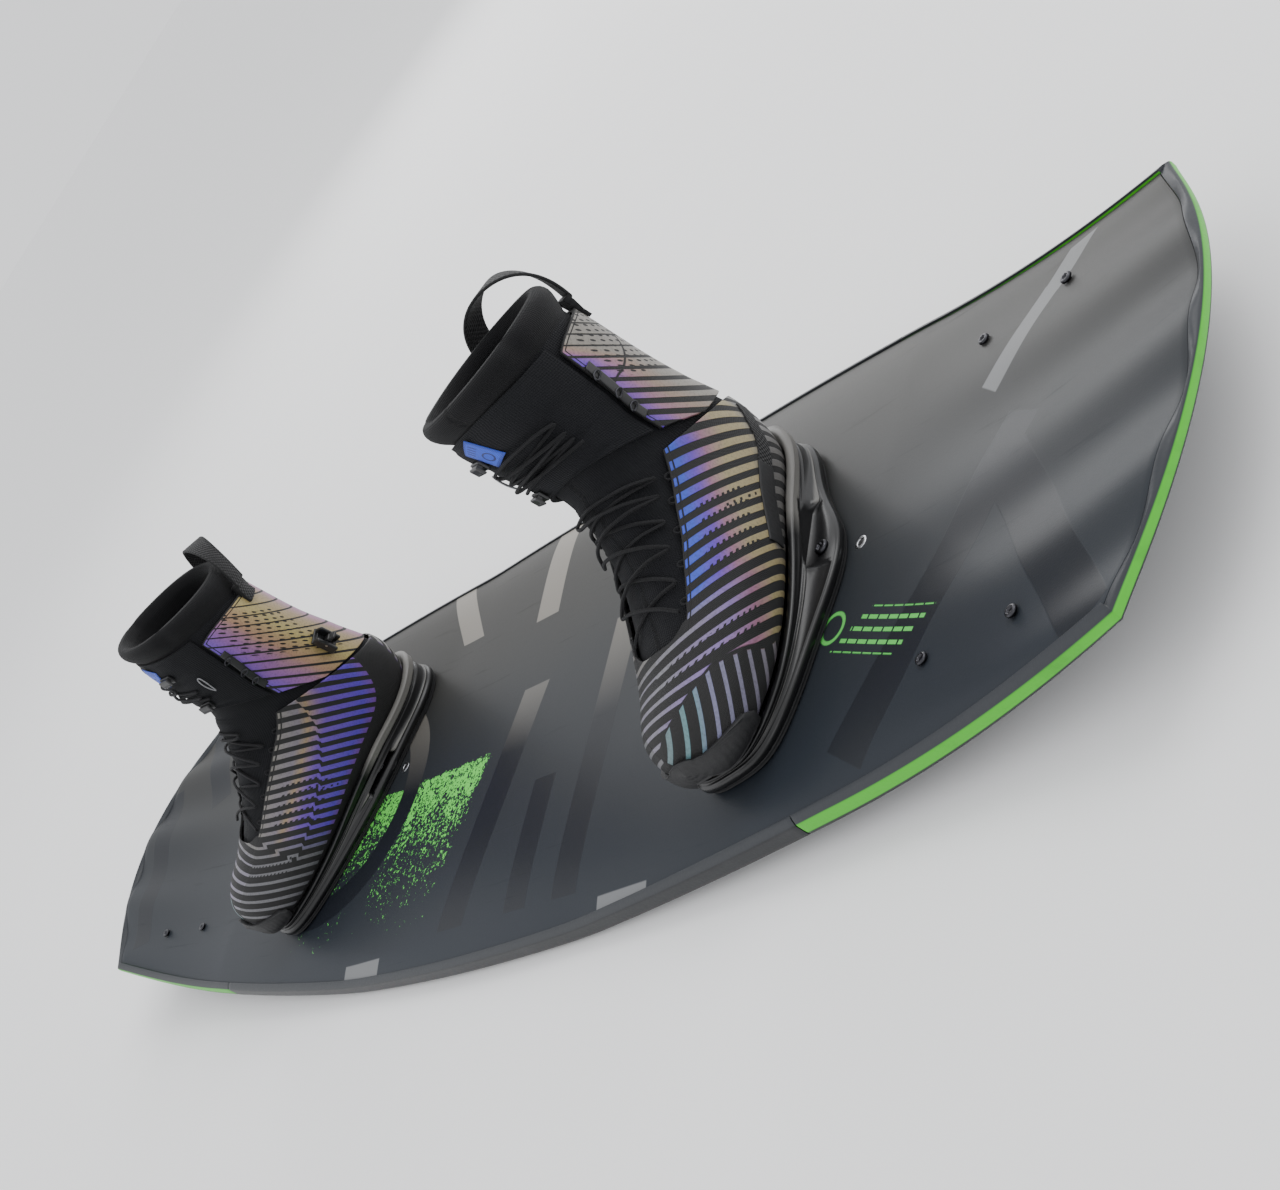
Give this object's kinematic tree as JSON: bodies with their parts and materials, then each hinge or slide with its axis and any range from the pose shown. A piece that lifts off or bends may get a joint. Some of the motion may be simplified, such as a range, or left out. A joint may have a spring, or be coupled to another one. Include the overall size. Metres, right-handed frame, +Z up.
{
  "type": "wakeboard",
  "caption": "Twin-tip wakeboard with three-stage rocker, bottom fins and a pair of lace-up boots on turnable bases.",
  "frame": {"origin": "on the ground under the middle of the board, which rests on the flat middle of its base", "axes": "+X along the board to the nose, +Y to the heel side, +Z up, square to the flat base"},
  "size_m": [1.432, 0.442, 0.2973],
  "materials": {
    "printed_laminate": "satin printed laminate",
    "base_laminate": "smooth laminate",
    "foam_core": "milled foam, sealed in",
    "green_edge": "moulded rail, lime green",
    "black_edge": "moulded rail, black",
    "stainless_steel": "threaded insert rail",
    "fin_nylon": "moulded fin",
    "black_rubber": "matte rubber",
    "gloss_black": "gloss black with grey facets",
    "grey_foam": "soft foam",
    "black_mesh": "padded mesh",
    "striped_shell": "coated fabric with reflective stripes",
    "black_neoprene": "padded neoprene",
    "black_webbing": "woven webbing",
    "black_cord": "braided cord",
    "black_nylon": "moulded nylon",
    "black_steel": "black oxide screw"
  },
  "bodies": {
    "board": {"top_laminate": "printed_laminate", "base_laminate": "base_laminate", "foam_core": "foam_core", "nose_edge": "green_edge", "tail_edge": "green_edge", "toe_side_edge": "black_edge", "heel_side_edge": "black_edge", "fin_nose_toe": "fin_nylon", "fin_screw_nose_toe_inner": "stainless_steel", "fin_screw_nose_toe_outer": "stainless_steel", "fin_nose_heel": "fin_nylon", "fin_screw_nose_heel_inner": "stainless_steel", "fin_screw_nose_heel_outer": "stainless_steel", "fin_tail_toe": "fin_nylon", "fin_screw_tail_toe_inner": "stainless_steel", "fin_screw_tail_toe_outer": "stainless_steel", "fin_tail_heel": "fin_nylon", "fin_screw_tail_heel_inner": "stainless_steel", "fin_screw_tail_heel_outer": "stainless_steel", "left_insert_rail": "stainless_steel", "right_insert_rail": "stainless_steel", "left_mount_screw_inner": "black_steel", "left_mount_screw_outer": "black_steel", "right_mount_screw_inner": "black_steel", "right_mount_screw_outer": "black_steel"},
    "left_boot": {"left_base_pad": "black_rubber", "left_chassis": "gloss_black", "left_footbed": "grey_foam", "left_inner_boot": "black_mesh", "left_vamp": "striped_shell", "left_toe_cap": "black_rubber", "left_lower_lace": "black_cord"},
    "left_upper": {"left_cuff": "striped_shell", "left_tongue": "black_mesh", "left_collar": "black_neoprene", "left_upper_lace": "black_cord", "left_lace_hook_upper": "black_nylon", "left_lace_hook_lower": "black_nylon", "left_lace_lock_body": "black_nylon", "left_lace_lock_pin": "stainless_steel"},
    "left_loop": {"left_pull_loop": "black_webbing"},
    "left_lever": {"left_lace_lock_lever": "black_nylon"},
    "right_boot": {"right_base_pad": "black_rubber", "right_chassis": "gloss_black", "right_footbed": "grey_foam", "right_inner_boot": "black_mesh", "right_vamp": "striped_shell", "right_toe_cap": "black_rubber", "right_lower_lace": "black_cord"},
    "right_upper": {"right_cuff": "striped_shell", "right_tongue": "black_mesh", "right_collar": "black_neoprene", "right_upper_lace": "black_cord", "right_lace_hook_upper": "black_nylon", "right_lace_hook_lower": "black_nylon", "right_lace_lock_body": "black_nylon", "right_lace_lock_pin": "stainless_steel"},
    "right_loop": {"right_pull_loop": "black_webbing"},
    "right_lever": {"right_lace_lock_lever": "black_nylon"}
  },
  "joints": [
    {"name": "left_stance", "type": "hinge", "parent": "board", "child": "left_boot", "pos_m": [0.3515, 0, 0.03425], "axis": [-0.0619, 0, 0.9981], "range_deg": [-6, 18]},
    {"name": "left_ankle_flex", "type": "hinge", "parent": "left_boot", "child": "left_upper", "pos_m": [0.32349, 0.05936, 0.13772], "axis": [0.9858, 0.1564, 0.0611], "range_deg": [-4, 10], "stiffness_Nm_per_rad": 25},
    {"name": "left_pull_loop_fold", "type": "hinge", "parent": "left_upper", "child": "left_loop", "pos_m": [0.31224, 0.08553, 0.25224], "axis": [0.9858, 0.1564, 0.0611], "range_deg": [-40, 0], "stiffness_Nm_per_rad": 0.05},
    {"name": "left_lace_lock", "type": "hinge", "parent": "left_upper", "child": "left_lever", "pos_m": [0.27169, 0.08104, 0.15411], "axis": [-0.3131, -0.9273, -0.2053], "range_deg": [-35, 35]},
    {"name": "right_stance", "type": "hinge", "parent": "board", "child": "right_boot", "pos_m": [-0.2753, 0, 0.02953], "axis": [0.0619, 0, 0.9981], "range_deg": [-6, 18]},
    {"name": "right_ankle_flex", "type": "hinge", "parent": "right_boot", "child": "right_upper", "pos_m": [-0.23544, 0.05358, 0.13226], "axis": [0.9318, -0.3584, -0.0578], "range_deg": [-1, 14], "stiffness_Nm_per_rad": 25},
    {"name": "right_pull_loop_fold", "type": "hinge", "parent": "right_upper", "child": "right_loop", "pos_m": [-0.21614, 0.08575, 0.24415], "axis": [0.9318, -0.3584, -0.0578], "range_deg": [-40, 0], "stiffness_Nm_per_rad": 0.05},
    {"name": "right_lace_lock", "type": "hinge", "parent": "right_upper", "child": "right_lever", "pos_m": [-0.17992, 0.06546, 0.14632], "axis": [0.1135, -0.9847, -0.1321], "range_deg": [-35, 35]}
  ]
}
